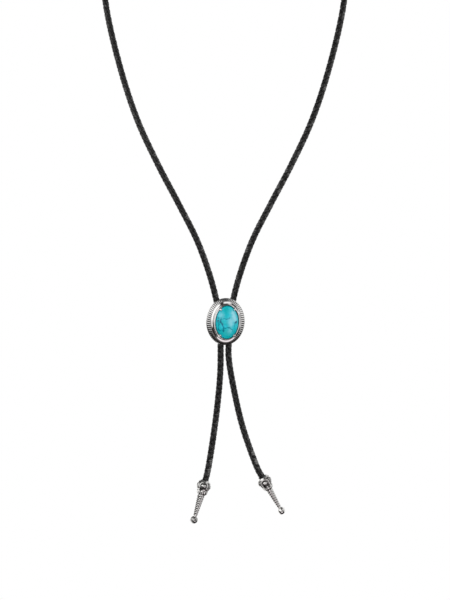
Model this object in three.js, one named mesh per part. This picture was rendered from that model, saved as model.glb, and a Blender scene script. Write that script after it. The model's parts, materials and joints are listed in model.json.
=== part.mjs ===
// A bolo tie: a braided leather cord worn round the neck, drawn together by an oval silver slide
// with a turquoise cabochon, and finished with two cast silver tips. Millimetres, +Z up.
// The wearer faces -Y. The origin is the point on the nape of the neck where the cord hangs.
import * as THREE from 'three';

// The cord
const CORD_DIAMETER = 4.2;
const CORD_SIDES = 8;
const CORD_STEPS = 80;
const CORD_CORNER = 1.03; // how far out the tube's eight corners stand, for a round cord's section

// The slide: a silver concho with its clasp behind, leaning forward and turned to the wearer's left
const SLIDE_PLACE = [0.4, -148.8, -291];
const SLIDE_YAW = 13;
const SLIDE_LEAN = 6;
const RIDGES = 66;
const RIDGE_RISE = 0.1;

// The four claws over the edge of the stone
const CLAW_ANGLES = [52, 128, 232, 308];
const CLAW_HALF_COLUMNS = 1;
const CLAW_REACH = 1.2;
const CLAW_RISE = 1.35;

// The stone
const STONE_COLUMNS = 40;
const STONE_DOME = 4;
const STONE_EDGE_LIFT = 5.5;
const STONE_DOME_POWER = 0.7;

// The clasp behind the concho
const CLASP_OFFSET = 0.84; // sideways from the middle of the concho
const CLASP_SPREAD = 3.05; // from the clasp's middle to each cord
const CLASP_BORE_RADIUS = 2.75;
const CLASP_WALL = 0.8;
const CLASP_LOW = -11.5;
const CLASP_HEIGHT = 10;
const PIECE_GAP = 0.3;

// The tips
const TIP_LENGTH = 31.2;
const TIP_COLUMNS = 24;
const TIP_SOCKET_RADIUS = 2.6;
const TIP_SOCKET_DEPTH = 6;
const BALL_RADIUS = 2.65;
const NECK_RADIUS = 1.2;
const CHEVRON_PITCH = 1.6;
const CHEVRON_RISE = 0.14;
const CHEVRON_DROP = 0.9;

const leather = new THREE.MeshStandardMaterial({ color: 0x1b1b1c, roughness: 0.5, metalness: 0 });
const silver = new THREE.MeshStandardMaterial({ color: 0xc9c9c6, roughness: 0.25, metalness: 1 });
const oldSilver = new THREE.MeshStandardMaterial({ color: 0x9d9c98, roughness: 0.35, metalness: 1 });
const turquoise = new THREE.MeshStandardMaterial({ color: 0x3fb0bb, roughness: 0.25, metalness: 0 });

const { degToRad } = THREE.MathUtils;

// A closed solid through a stack of rings, from the lowest up the outside and, if it is hollow, back
// down the inside. The first and last rings are closed by a fan to their middle.
function ringSolid(rings) {
  const count = rings[0].length;
  const positions = rings.flat().flatMap((point) => point.toArray());
  const index = [];
  for (let r = 0; r + 1 < rings.length; r += 1) {
    for (let i = 0; i < count; i += 1) {
      const next = (i + 1) % count;
      const [a, b] = [r * count + i, r * count + next];
      index.push(a, b, b + count, a, b + count, a + count);
    }
  }
  for (const ring of [0, rings.length - 1]) {
    const middle = positions.length / 3;
    const centre = new THREE.Vector3();
    rings[ring].forEach((point) => centre.addScaledVector(point, 1 / count));
    positions.push(...centre.toArray());
    for (let i = 0; i < count; i += 1) {
      const [a, b] = [ring * count + i, ring * count + ((i + 1) % count)];
      index.push(...(ring === 0 ? [middle, b, a] : [middle, a, b]));
    }
  }
  const geometry = new THREE.BufferGeometry();
  geometry.setAttribute('position', new THREE.Float32BufferAttribute(positions, 3));
  geometry.setIndex(index);
  return geometry;
}

function namedMesh(name, geometry, material) {
  const mesh = new THREE.Mesh(geometry, material);
  mesh.name = name;
  return mesh;
}

// The cord's route, from the end in the left tip, up through the slide, round the nape and back down to
// the right tip. Left and right are as seen from in front.
const LEFT_TAIL = [
  [-15.1, -144.2, -407.6],
  [-13.6, -144, -402.4],
  [-12.3, -143.8, -397.4],
  [-9.7, -143.5, -383],
  [-5.4, -142.8, -352],
  [-3.1, -143.1, -326],
  [-2.87, -144.5, -301.75],
];
const LEFT_CLASP_TOP = [-2.63, -145.5, -291.8];
const FRONT_AND_SIDE = [ // the right half, from the slide to the side of the neck
  [6.35, -145, -274],
  [11.2, -143.9, -256.4],
  [19.6, -140.7, -233.8],
  [32, -134, -209.2],
  [46.8, -124.5, -181],
  [61.8, -112, -148.6],
  [74.9, -95, -108.7],
  [85.5, -72.5, -62],
  [87.2, -47, -29],
  [69, -15.5, -9.4],
  [37, -1.2, -2],
];
const NAPE = [0, 2.1, 0];
const RIGHT_CLASP_TOP = [3.32, -144.15, -291.8];
const RIGHT_TAIL = [
  [3.08, -143.1, -301.75],
  [2.7, -142.4, -315],
  [5.9, -142.2, -336],
  [12.6, -142.2, -365],
  [21.4, -143.1, -390.3],
  [23.7, -142.6, -395.6],
  [26.1, -141.4, -399.9],
  [28.65, -140.1, -404.4],
];

const mirrored = FRONT_AND_SIDE.map(([x, y, z]) => [-x, y, z]);
const routePoints = [
  ...LEFT_TAIL,
  LEFT_CLASP_TOP,
  ...mirrored,
  NAPE,
  ...[...FRONT_AND_SIDE].reverse(),
  RIGHT_CLASP_TOP,
  ...RIGHT_TAIL,
].map((point) => new THREE.Vector3(...point));

function braidedCord() {
  const route = new THREE.CatmullRomCurve3(routePoints);
  route.arcLengthDivisions = 2000;
  const section = new THREE.Shape();
  for (let i = 0; i < CORD_SIDES; i += 1) {
    const angle = (2 * Math.PI * (i + 0.5)) / CORD_SIDES;
    const radius = (CORD_DIAMETER / 2) * CORD_CORNER;
    section[i ? 'lineTo' : 'moveTo'](radius * Math.cos(angle), radius * Math.sin(angle));
  }
  const geometry = new THREE.ExtrudeGeometry(section, { steps: CORD_STEPS, extrudePath: route });
  return namedMesh('braided_cord', geometry, leather);
}

// The concho's section, as ellipses from the back plate outwards and in over the front: half its width,
// half its height, how far forward of the back, how much of the ridges' rise it takes, how far the
// ridges have slanted round by there, in half ridges, and what a claw does to it (lift, and reach).
const CONCHO_ROWS = [
  { name: 'back_edge', w: 13.3, h: 15.95, lift: 0, ridge: 0, slant: 0, clawLift: 0, clawIn: 0 },
  { name: 'rim_low', w: 13.85, h: 16.5, lift: 0.25, ridge: 0, slant: 0, clawLift: 0, clawIn: 0 },
  { name: 'rim_high', w: 13.85, h: 16.5, lift: 0.65, ridge: 0, slant: 0, clawLift: 0, clawIn: 0 },
  { name: 'band_edge', w: 13.6, h: 16.29, lift: 0.84, ridge: 0, slant: 0, clawLift: 0, clawIn: 0 },
  { name: 'band_low', w: 12.9, h: 15.84, lift: 1.35, ridge: 1, slant: 0.25, clawLift: 0, clawIn: 0 },
  { name: 'band_high', w: 11.45, h: 14.88, lift: 2.2, ridge: 1, slant: 0.75, clawLift: 0, clawIn: 0 },
  { name: 'band_inside', w: 10.82, h: 14.5, lift: 2.52, ridge: 0, slant: 1, clawLift: 0, clawIn: 0 },
  { name: 'apron_edge', w: 10.7, h: 14.44, lift: 2.62, ridge: 0, slant: 1, clawLift: 0, clawIn: 0 },
  { name: 'bezel_foot', w: 9.7, h: 12.82, lift: 3.12, ridge: 0, slant: 1, clawLift: 0, clawIn: 0 },
  { name: 'bezel_outside', w: 9.3, h: 12.47, lift: 5.45, ridge: 0, slant: 1, clawLift: 0.6, clawIn: 0 },
  { name: 'bezel_top', w: 8.94, h: 12.2, lift: 6.12, ridge: 0, slant: 1, clawLift: 1, clawIn: 0.1 },
  { name: 'bezel_lip', w: 8.52, h: 11.85, lift: 6.04, ridge: 0, slant: 1, clawLift: 1, clawIn: 1 },
  { name: 'bezel_inside', w: 8.58, h: 11.9, lift: 5.7, ridge: 0, slant: 1, clawLift: 0, clawIn: 0 },
  { name: 'cup_floor', w: 8.75, h: 12.1, lift: 2.2, ridge: 0, slant: 1, clawLift: 0, clawIn: 0 },
];

// The plate lies in its own X and Z with its back at y = 0 and its face towards -Y.
function faceForward(geometry) {
  return geometry.rotateX(Math.PI / 2);
}

function concho() {
  const columns = RIDGES * 2;
  const clawColumns = CLAW_ANGLES.map((angle) => Math.round((angle / 360) * columns));
  const onClaw = (i) => clawColumns.some((middle) => Math.abs(i - middle) <= CLAW_HALF_COLUMNS);
  const rings = CONCHO_ROWS.map((row) => Array.from({ length: columns }, (_, i) => {
    const claw = onClaw(i) ? 1 : 0;
    const angle = (2 * Math.PI * (i + row.slant)) / columns;
    const ridge = (i % 2 ? 1 : -1) * RIDGE_RISE * row.ridge;
    const inwards = CLAW_REACH * row.clawIn * claw;
    return new THREE.Vector3(
      (row.w - inwards) * Math.cos(angle),
      (row.h - inwards) * Math.sin(angle),
      row.lift + ridge + CLAW_RISE * row.clawLift * claw,
    );
  }));
  return namedMesh('concho', faceForward(ringSolid(rings)), silver);
}

// The stone's girdle sits in the bezel, and its dome rises from the bezel's lip.
const STONE_GIRDLE = [
  { w: 8.05, h: 11.4, lift: 2.5 },
  { w: 8.33, h: 11.68, lift: 2.8 },
  { w: 8.33, h: 11.68, lift: 4.5 },
];
const STONE_EDGE = { w: 8.12, h: 11.5 };
const STONE_DOME_SHARES = [1, 0.985, 0.95, 0.88, 0.77, 0.62, 0.44, 0.24];

function turquoiseStone() {
  const dome = STONE_DOME_SHARES.map((share) => ({
    w: STONE_EDGE.w * share,
    h: STONE_EDGE.h * share,
    lift: STONE_EDGE_LIFT + STONE_DOME * (1 - share * share) ** STONE_DOME_POWER,
  }));
  const rings = [...STONE_GIRDLE, ...dome].map((row) => (
    Array.from({ length: STONE_COLUMNS }, (_, i) => {
      const angle = (2 * Math.PI * i) / STONE_COLUMNS;
      return new THREE.Vector3(row.w * Math.cos(angle), row.h * Math.sin(angle), row.lift);
    })
  ));
  return namedMesh('turquoise_stone', faceForward(ringSolid(rings)), turquoise);
}

// The clasp is one plain block with round sides and flat faces, and two channels for the cord.
function backClasp() {
  const round = CLASP_BORE_RADIUS + CLASP_WALL;
  const outline = new THREE.Shape();
  outline.absarc(CLASP_SPREAD, 0, round, -Math.PI / 2, Math.PI / 2, false);
  outline.absarc(-CLASP_SPREAD, 0, round, Math.PI / 2, (3 * Math.PI) / 2, false);
  for (const side of [-1, 1]) {
    const bore = new THREE.Path();
    bore.absarc(side * CLASP_SPREAD, 0, CLASP_BORE_RADIUS, 0, 2 * Math.PI, true);
    outline.holes.push(bore);
  }
  const geometry = new THREE.ExtrudeGeometry(outline, {
    depth: CLASP_HEIGHT, bevelEnabled: false, curveSegments: 10,
  });
  geometry.translate(CLASP_OFFSET, PIECE_GAP + round, CLASP_LOW);
  return namedMesh('back_clasp', geometry, silver);
}

// The tip's section above its cone, from the cone's top up to the mouth that the cord enters and down
// into the socket: how far below the mouth, its radius, and how much of the petals or arches it takes.
const TIP_CAP_ROWS = [
  { name: 'collar', below: 10.3, radius: 2.65, petals: 0, arches: 0 },
  { name: 'petal_foot', below: 9.9, radius: 3.15, petals: 0.15, arches: 0 },
  { name: 'petal_low', below: 9.0, radius: 3.55, petals: 0.3, arches: 0 },
  { name: 'petal_high', below: 8.0, radius: 3.8, petals: 0.3, arches: 0 },
  { name: 'waist', below: 7.0, radius: 3.75, petals: 0, arches: 0 },
  { name: 'arch_foot', below: 6.3, radius: 4.15, petals: 0, arches: 0.5 },
  { name: 'arch_low', below: 5.1, radius: 4.65, petals: 0, arches: 0.8 },
  { name: 'arch_high', below: 3.6, radius: 4.75, petals: 0, arches: 0.8 },
  { name: 'shoulder', below: 2.2, radius: 4.4, petals: 0, arches: 0.5 },
  { name: 'rim_foot', below: 1.1, radius: 3.85, petals: 0, arches: 0 },
  { name: 'rim', below: 0.4, radius: 3.5, petals: 0, arches: 0 },
  { name: 'mouth_outside', below: 0, radius: 3.0, petals: 0, arches: 0 },
  { name: 'mouth', below: 0, radius: TIP_SOCKET_RADIUS, petals: 0, arches: 0 },
  { name: 'socket_floor', below: TIP_SOCKET_DEPTH, radius: TIP_SOCKET_RADIUS, petals: 0, arches: 0 },
];
const PETALS = 8;
const ARCHES = 4;
const CONE = { topBelow: 10.8, topRadius: 2.4, lowBelow: 25.2, lowRadius: 1.4 };
const CHEVRON_FOLDS = 4;

// A tip hangs from its mouth at the group's origin, down its own -Z.
function tip(name) {
  const rings = [];
  const addRing = (below, radiusAt, dropAt = () => 0) => {
    rings.push(Array.from({ length: TIP_COLUMNS }, (_, i) => {
      const angle = (2 * Math.PI * i) / TIP_COLUMNS;
      const radius = radiusAt(angle);
      const drop = dropAt(angle);
      return new THREE.Vector3(radius * Math.cos(angle), radius * Math.sin(angle), -below - drop);
    }));
  };

  // the ball, from its foot up to the neck
  const ballMiddle = TIP_LENGTH - BALL_RADIUS;
  for (const degrees of [-72, -48, -24, 0, 22, 43, 62]) {
    const angle = degToRad(degrees);
    addRing(ballMiddle - BALL_RADIUS * Math.sin(angle), () => BALL_RADIUS * Math.cos(angle));
  }
  addRing(ballMiddle - BALL_RADIUS, () => NECK_RADIUS);

  // the cone, with its raised chevrons
  const folded = (angle) => {
    const turn = ((angle / (2 * Math.PI)) * CHEVRON_FOLDS) % 1;
    return 1 - Math.abs(turn - 0.5) * 2;
  };
  const step = CHEVRON_PITCH / 2;
  const steps = Math.round((CONE.lowBelow - CONE.topBelow) / step);
  for (let i = 0; i <= steps; i += 1) {
    const share = i / steps;
    const below = CONE.lowBelow - i * step;
    const plain = CONE.lowRadius + (CONE.topRadius - CONE.lowRadius) * share;
    const rise = (i % 2 ? 1 : -1) * CHEVRON_RISE;
    const drop = i === 0 || i === steps ? 0 : CHEVRON_DROP;
    addRing(below - drop / 2, () => plain + rise, (angle) => drop * folded(angle));
  }

  for (const row of TIP_CAP_ROWS) {
    addRing(row.below, (angle) => row.radius
      + row.petals * Math.cos(PETALS * angle)
      + row.arches * (Math.abs(Math.cos((ARCHES * angle) / 2)) - 0.5));
  }
  return namedMesh(name, ringSolid(rings), oldSilver);
}

const group = new THREE.Group();
group.add(braidedCord());

const slide = new THREE.Group();
slide.rotation.order = 'ZXY';
slide.rotation.set(degToRad(SLIDE_LEAN), 0, degToRad(SLIDE_YAW));
slide.position.set(...SLIDE_PLACE);
slide.add(concho(), turquoiseStone(), backClasp());
group.add(slide);

// Each tip follows the last stretch of the cord, with its mouth where that stretch begins.
for (const [name, mouth, end] of [
  ['left_tip', LEFT_TAIL[1], LEFT_TAIL[0]],
  ['right_tip', RIGHT_TAIL.at(-2), RIGHT_TAIL.at(-1)],
]) {
  const mesh = tip(name);
  const downwards = new THREE.Vector3(...end).sub(new THREE.Vector3(...mouth)).normalize();
  mesh.quaternion.setFromUnitVectors(new THREE.Vector3(0, 0, -1), downwards);
  mesh.position.set(...mouth);
  group.add(mesh);
}

export default group;
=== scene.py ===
"""A bolo tie: a braided black leather cord, a silver slide with a turquoise cabochon, two cast tips."""
import json
import math

import bmesh
import bpy
import numpy as np
from mathutils import Matrix, Vector


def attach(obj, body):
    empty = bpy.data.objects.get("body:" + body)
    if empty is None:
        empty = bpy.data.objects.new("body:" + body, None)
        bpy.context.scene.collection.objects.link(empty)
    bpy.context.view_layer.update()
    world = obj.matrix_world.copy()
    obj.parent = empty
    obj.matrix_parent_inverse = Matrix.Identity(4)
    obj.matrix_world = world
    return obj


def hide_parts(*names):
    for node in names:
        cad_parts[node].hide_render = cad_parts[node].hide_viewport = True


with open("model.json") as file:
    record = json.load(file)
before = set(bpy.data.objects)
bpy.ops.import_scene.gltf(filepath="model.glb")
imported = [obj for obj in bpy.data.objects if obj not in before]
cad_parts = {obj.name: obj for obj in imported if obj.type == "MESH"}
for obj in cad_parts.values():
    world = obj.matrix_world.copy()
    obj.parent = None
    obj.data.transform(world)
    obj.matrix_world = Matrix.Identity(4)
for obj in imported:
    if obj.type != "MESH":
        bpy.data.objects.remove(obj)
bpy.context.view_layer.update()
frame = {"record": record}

MM = 0.001
scene = bpy.context.scene


# ---------------------------------------------------------------- camera

CAMERA_DISTANCE = 3.0       # a long lens, far back
VIEW_HEIGHT = 0.42          # the height in view at the slide
VIEW_CENTRE = Vector((0.0002, -0.145, -0.276))
SENSOR = 24.0

camera_data = bpy.data.cameras.new("camera")
camera_data.sensor_fit = "VERTICAL"
camera_data.sensor_height = SENSOR
camera_data.lens = SENSOR * CAMERA_DISTANCE / VIEW_HEIGHT
camera_data.clip_end = 20.0
camera = bpy.data.objects.new("camera", camera_data)
scene.collection.objects.link(camera)
camera.location = VIEW_CENTRE - Vector((0, CAMERA_DISTANCE, 0))
camera.rotation_euler = (math.radians(90), 0, 0)
scene.camera = camera
scene.view_settings.view_transform = "Standard"


# ---------------------------------------------------------------- places taken from the frame

# The clasp behind the slide, in the slide's own frame: a block with two round channels side by side.
CLASP_OFFSET = 0.84 * MM        # from the slide's middle to the clasp's, to the right
CLASP_SPREAD = 3.05 * MM        # from the clasp's middle to each channel's
CLASP_BORE = 2.75 * MM
CLASP_WALL = 0.8 * MM
CLASP_LOW = -11.5 * MM
CLASP_HEIGHT = 10 * MM
CLASP_GAP = 0.3 * MM            # between the plate's back and the block
CLASP_BACK_POINT = Vector((CLASP_OFFSET, CLASP_GAP + 2 * (CLASP_BORE + CLASP_WALL),
                           CLASP_LOW + CLASP_HEIGHT / 2))


def slide_placement():
    """The slide's own frame, from the flat back of its clasp: X to its right, -Y out of its face, Z up."""
    mount = next(m for m in frame["record"]["mounts"] if m["name"] == "clasp_back")
    backwards = Vector(mount["axis"]).normalized()
    yaw = math.atan2(-backwards.x, backwards.y)
    lean = math.asin(backwards.z)
    turn = Matrix.Rotation(yaw, 4, "Z") @ Matrix.Rotation(lean, 4, "X")
    place = Vector(mount["pos_m"]) - turn @ CLASP_BACK_POINT
    return Matrix.Translation(place) @ turn


SLIDE = slide_placement()
# Stands up what is modelled lying on its back, so that its lift along +Z points out of the slide's face.
FACE_FORWARD = SLIDE @ Matrix.Rotation(math.radians(90), 4, "X")


# ---------------------------------------------------------------- shared helpers

def new_object(name, mesh):
    """An object in the scene that holds the mesh."""
    obj = bpy.data.objects.new(name, mesh)
    scene.collection.objects.link(obj)
    return obj


def mesh_from_rings(name, rings):
    """A closed skin over stacked rings of equally many points, ordered so that its faces look out."""
    count = len(rings[0])
    points = np.asarray(rings, float).reshape(-1, 3)
    faces = []
    for ring in range(len(rings) - 1):
        low, high = ring * count, (ring + 1) * count
        for i in range(count):
            j = (i + 1) % count
            faces.append((low + i, low + j, high + j, high + i))
    ends = [np.mean(rings[0], axis=0), np.mean(rings[-1], axis=0)]
    first, last = len(points), len(points) + 1
    points = np.vstack([points, ends])
    top = (len(rings) - 1) * count
    for i in range(count):
        j = (i + 1) % count
        faces.append((first, j, i))
        faces.append((last, top + i, top + j))
    mesh = bpy.data.meshes.new(name)
    mesh.from_pydata(points.tolist(), [], faces)
    mesh.update()
    return mesh


def join_meshes(name, meshes):
    """One mesh from several, keeping what each one's attributes say."""
    parts = [new_object(f"{name}_{i}", mesh) for i, mesh in enumerate(meshes)]
    with bpy.context.temp_override(active_object=parts[0], selected_editable_objects=parts,
                                   selected_objects=parts):
        bpy.ops.object.join()
    joined = parts[0]
    joined.name = name
    joined.data.name = name
    return joined


def float_attribute(mesh, name, values):
    layer = mesh.attributes.new(name, "FLOAT", "POINT")
    layer.data.foreach_set("value", np.asarray(values, np.float32))


def smooth(mesh, sharp_degrees=None):
    mesh.shade_smooth()
    if sharp_degrees is not None:
        mesh.set_sharp_from_angle(angle=math.radians(sharp_degrees))


def finish_piece(obj, node):
    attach(obj, "root")
    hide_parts(node)


# ---------------------------------------------------------------- the cord's route

# The same route as the solid tube follows, in metres. Left and right are as seen from in front.
LEFT_TAIL = [
    (-0.0151, -0.1442, -0.4076), (-0.0136, -0.144, -0.4024), (-0.0123, -0.1438, -0.3974),
    (-0.0097, -0.1435, -0.383), (-0.0054, -0.1428, -0.352), (-0.0031, -0.1431, -0.326),
    (-0.00287, -0.1445, -0.30175),
]
LEFT_CLASP_TOP = (-0.00263, -0.1455, -0.2918)
FRONT_AND_SIDE = [
    (0.00635, -0.145, -0.274), (0.0112, -0.1439, -0.2564), (0.0196, -0.1407, -0.2338),
    (0.032, -0.134, -0.2092), (0.0468, -0.1245, -0.181), (0.0618, -0.112, -0.1486),
    (0.0749, -0.095, -0.1087), (0.0855, -0.0725, -0.062), (0.0872, -0.047, -0.029),
    (0.069, -0.0155, -0.0094), (0.037, -0.0012, -0.002),
]
NAPE = (0.0, 0.0021, 0.0)
RIGHT_CLASP_TOP = (0.00332, -0.14415, -0.2918)
RIGHT_TAIL = [
    (0.00308, -0.1431, -0.30175), (0.0027, -0.1424, -0.315), (0.0059, -0.1422, -0.336),
    (0.0126, -0.1422, -0.365), (0.0214, -0.1431, -0.3903), (0.0237, -0.1426, -0.3956),
    (0.0261, -0.1414, -0.3999), (0.02865, -0.1401, -0.4044),
]
ROUTE = (LEFT_TAIL + [LEFT_CLASP_TOP] + [(-x, y, z) for x, y, z in FRONT_AND_SIDE] + [NAPE]
         + FRONT_AND_SIDE[::-1] + [RIGHT_CLASP_TOP] + RIGHT_TAIL)


def through_points(points, per_span=60):
    """A centripetal Catmull-Rom curve through the points, as closely spaced positions."""
    points = [np.asarray(p, float) for p in points]
    points = [2 * points[0] - points[1]] + points + [2 * points[-1] - points[-2]]
    out = []
    for a, b, c, d in zip(points, points[1:], points[2:], points[3:]):
        knots = [0.0]
        for p, q in ((a, b), (b, c), (c, d)):
            knots.append(knots[-1] + math.sqrt(np.linalg.norm(q - p)))
        t0, t1, t2, t3 = knots
        for t in np.linspace(t1, t2, per_span, endpoint=False):
            ab = (t1 - t) / (t1 - t0) * a + (t - t0) / (t1 - t0) * b
            bc = (t2 - t) / (t2 - t1) * b + (t - t1) / (t2 - t1) * c
            cd = (t3 - t) / (t3 - t2) * c + (t - t2) / (t3 - t2) * d
            abc = (t2 - t) / (t2 - t0) * ab + (t - t0) / (t2 - t0) * bc
            bcd = (t3 - t) / (t3 - t1) * bc + (t - t1) / (t3 - t1) * cd
            out.append((t2 - t) / (t2 - t1) * abc + (t - t1) / (t2 - t1) * bcd)
    out.append(points[-2])
    return np.array(out)


def evenly(points, step):
    """The same line with evenly spaced points, and its length."""
    along = np.concatenate([[0], np.cumsum(np.linalg.norm(np.diff(points, axis=0), axis=1))])
    count = int(round(along[-1] / step)) + 1
    wanted = np.linspace(0, along[-1], count)
    return np.column_stack([np.interp(wanted, along, points[:, k]) for k in range(3)]), along[-1]


# ---------------------------------------------------------------- the braided cord

LACE_THICKNESS = 1.15 * MM
BRAID_PITCH = 13.0 * MM         # one lace's full turn round the cord
RING_STEP = 0.5 * MM
LACE_HALF_SPREAD = math.radians(89)     # how far round the cord a lace reaches to each side of its middle
LACE_MIDDLE = 1.27 * MM         # how far from the core a lace lies on average, to the middle of its leather
LACE_SWING = 0.5 * MM           # how far it moves out and in as it goes over and under
SWING_STEEPNESS = 2.8           # above 1 a lace stays out longer, then dips faster
FIRST_TURN = math.radians(45)   # where round the cord the first lace starts
SPREAD_WANDER = 0.03            # how far each lace strays from the rule, as a share of its spread,
TURN_WANDER = 0.035             # in radians round the cord,
THICKNESS_WANDER = 0.04         # as a share of its thickness,
RADIUS_WANDER = 0.02 * MM       # and outwards
BRAID_SEED = 7
CREASE_SHIFT = 3                # between the crease patterns of two laces that wind the same way

# A lace's section: how far across (-1 to 1) and how far out (-1 under, 1 on top) each point lies.
LACE_SECTION = [(-1.0, 0.1), (-0.95, 0.66), (-0.74, 0.95), (-0.26, 1.0), (0.26, 1.0), (0.74, 0.95),
                (0.95, 0.66), (1.0, 0.1), (0.7, -0.9), (-0.7, -0.9)]

# Where a paler highlight is painted on the cord: how far along it in mm, and how much on its right and its
# left flank.
PAINTED_SHEEN = [
    (0, 4.0, 0.0), (16, 3.0, 0.0), (26, 1.4, 0.0), (45, 1.2, 0.0), (60, 0.8, 0.0), (110, 0.6, 0.0),
    (161, 1.0, 0.0), (220, 0.8, 0.1), (254, 0.8, 0.35), (290, 0.4, 0.5), (320, 0.1, 0.6), (376, 0.1, 0.6),
    (533, 0.3, 0.3), (690, 0.9, 0.4), (750, 0.9, 0.4), (812, 0.8, 0.8), (875, 0.5, 1.0), (950, 0.4, 0.5),
    (975, 0.5, 0.0), (1013, 0.7, 0.0), (1030, 1.5, 0.0), (1050, 3.0, 0.0), (1066, 4.0, 0.0),
]
SHEEN_MIDDLE = 0.58               # how far round to the side a flank with painted highlight lies: 0 is the front, 1 the side
SHEEN_REACH = 0.3
SHEEN_PATCH = 2.2                 # a patch's length in mm
SHEEN_STRONGEST = 1.25            # of the drawn strengths, whose cube is taken to make most patches faint
SHEEN_SEED = 19


def front_facing_frames(line):
    """For each point of the line: its tangent, the direction to the front, and the side."""
    tangents = np.gradient(line, axis=0)
    tangents /= np.linalg.norm(tangents, axis=1)[:, None]
    front = np.array([0.0, -1.0, 0.0]) + tangents * tangents[:, 1:2]
    front /= np.linalg.norm(front, axis=1)[:, None]
    return tangents, front, np.cross(tangents, front)


def braid_lace(line, turns, direction, start, rng):
    """One lace of a four-strand round braid: its rings, and how high each point rides."""
    _, front, side = front_facing_frames(line)
    count = len(line)
    phase = np.linspace(0, 2 * np.pi * turns, count)

    def wander(scale):
        knots = int(turns * 2)
        strays = rng.uniform(-1, 1, knots)
        return scale * np.interp(np.linspace(0, 1, count), np.linspace(0, 1, knots), strays)

    across, through = np.array(LACE_SECTION).T
    spread = LACE_HALF_SPREAD * (1 + wander(SPREAD_WANDER))[:, None] * across[None, :]
    middle = direction * phase + start * np.pi + FIRST_TURN + wander(TURN_WANDER)
    angle = middle[:, None] + spread
    over = direction * np.cos(2 * phase[:, None] + direction * spread)
    ride = np.tanh(SWING_STEEPNESS * over) / math.tanh(SWING_STEEPNESS)
    thickness = LACE_THICKNESS * (1 + wander(THICKNESS_WANDER))[:, None]
    radius = (LACE_MIDDLE + LACE_SWING * ride + through[None, :] * thickness / 2
              + wander(RADIUS_WANDER)[:, None])
    rings = (line[:, None, :] + (radius * np.cos(angle))[:, :, None] * front[:, None, :]
             + (radius * np.sin(angle))[:, :, None] * side[:, None, :])
    return rings, ride * np.clip(through + 0.2, 0, 1)[None, :]


def painted_sheen_share(rings, line, length, height, rng):
    """How much painted highlight each point of a lace gets: patches on its two front flanks, where it rides
    high.
    """
    outwards = rings - line[:, None, :]
    outwards /= np.linalg.norm(outwards, axis=2, keepdims=True)
    along = np.linspace(0, length / MM, len(line))
    knots, right, left = np.array(PAINTED_SHEEN).T
    share = np.zeros(height.shape)
    for flank, sideways in ((right, outwards[..., 0]), (left, -outwards[..., 0])):
        reach = np.clip(1 - np.abs(sideways - SHEEN_MIDDLE) / SHEEN_REACH, 0, 1)
        patch_ends = np.arange(0, length / MM + SHEEN_PATCH, SHEEN_PATCH)
        patches = np.interp(along, patch_ends, rng.uniform(0, SHEEN_STRONGEST, len(patch_ends)) ** 3)
        share += (np.interp(along, knots, flank) * patches)[:, None] * reach
    return share * np.clip(-2 * outwards[..., 1], 0, 1) * np.clip(1.5 * height, 0, 1)


def braided_cord():
    """The whole cord from tip to tip: four laces, two winding each way."""
    line, length = evenly(through_points(ROUTE), RING_STEP)
    turns = round(length / BRAID_PITCH)
    rng = np.random.default_rng(BRAID_SEED)
    sheen_rng = np.random.default_rng(SHEEN_SEED)
    laces = []
    for direction in (1, -1):
        for start in (0, 1):
            rings, height = braid_lace(line, turns, direction, start, rng)
            mesh = mesh_from_rings("lace", rings)
            float_attribute(mesh, "lace_height", np.concatenate([height.ravel(), [0.0, 0.0]]))
            # Painted highlight: pale patches on the front flanks of each lace.
            painted_sheen = painted_sheen_share(rings, line, length, height, sheen_rng)
            float_attribute(mesh, "lace_rubbed", np.concatenate([painted_sheen.ravel(), [0.0, 0.0]]))
            along = np.repeat(np.linspace(0, length / MM, len(rings)), len(LACE_SECTION))
            across = np.tile([point[0] for point in LACE_SECTION], len(rings))
            float_attribute(mesh, "lace_along", np.concatenate([along, [0.0, length / MM]]))
            float_attribute(mesh, "lace_across", np.concatenate([across + CREASE_SHIFT * start, [0.0, 0.0]]))
            laces.append(mesh)
    cord = join_meshes("laced_cord", laces)
    smooth(cord.data)
    cord.data.materials.append(black_leather())
    finish_piece(cord, "braided_cord")


# ---------------------------------------------------------------- nodes, for shaders and Geometry Nodes

def wire(tree, source, target):
    """Feeds a node's input from another node's output, or sets it to a value."""
    if isinstance(source, bpy.types.NodeSocket):
        tree.links.new(source, target)
    else:
        target.default_value = source


def feed(tree, node, **inputs):
    """Feeds a node's inputs by their names, with _ for each space."""
    for name, source in inputs.items():
        wire(tree, source, node.inputs[name.replace("_", " ")])


def add(tree, kind, **settings):
    """A node with its settings, and with its inputs fed by their names."""
    node = tree.nodes.new(kind)
    for name, value in settings.items():
        if hasattr(node, name):
            setattr(node, name, value)
        else:
            feed(tree, node, **{name: value})
    return node


def arithmetic(tree, operation, *values):
    """A Math node's result; each value is a number or a socket."""
    node = add(tree, "ShaderNodeMath", operation=operation)
    for value, socket in zip(values, node.inputs):
        wire(tree, value, socket)
    return node.outputs[0]


def scaled(tree, value, factor):
    return arithmetic(tree, "MULTIPLY", value, factor)


def vector_arithmetic(tree, operation, *values, **settings):
    """A Vector Math node's result; each value is a vector or a socket."""
    node = add(tree, "ShaderNodeVectorMath", operation=operation, **settings)
    for value, socket in zip(values, node.inputs):
        wire(tree, value, socket)
    return node.outputs["Vector"]


def vector_of(tree, **axes):
    """A vector from X, Y and Z, each a number or a socket."""
    return add(tree, "ShaderNodeCombineXYZ", **axes).outputs[0]


def map_range(tree, value, low, high, to_low=0.0, to_high=1.0, **settings):
    return add(tree, "ShaderNodeMapRange", Value=value, From_Min=low, From_Max=high, To_Min=to_low,
               To_Max=to_high, **settings).outputs["Result"]


def mix(tree, share, first, second):
    """A colour between first and second; each of the three is a socket or a value."""
    node = add(tree, "ShaderNodeMix", data_type="RGBA")
    wire(tree, share, node.inputs[0])
    for colour, socket in ((first, node.inputs[6]), (second, node.inputs[7])):
        wire(tree, colour if isinstance(colour, bpy.types.NodeSocket) else (*colour, 1), socket)
    return node.outputs[2]


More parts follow.
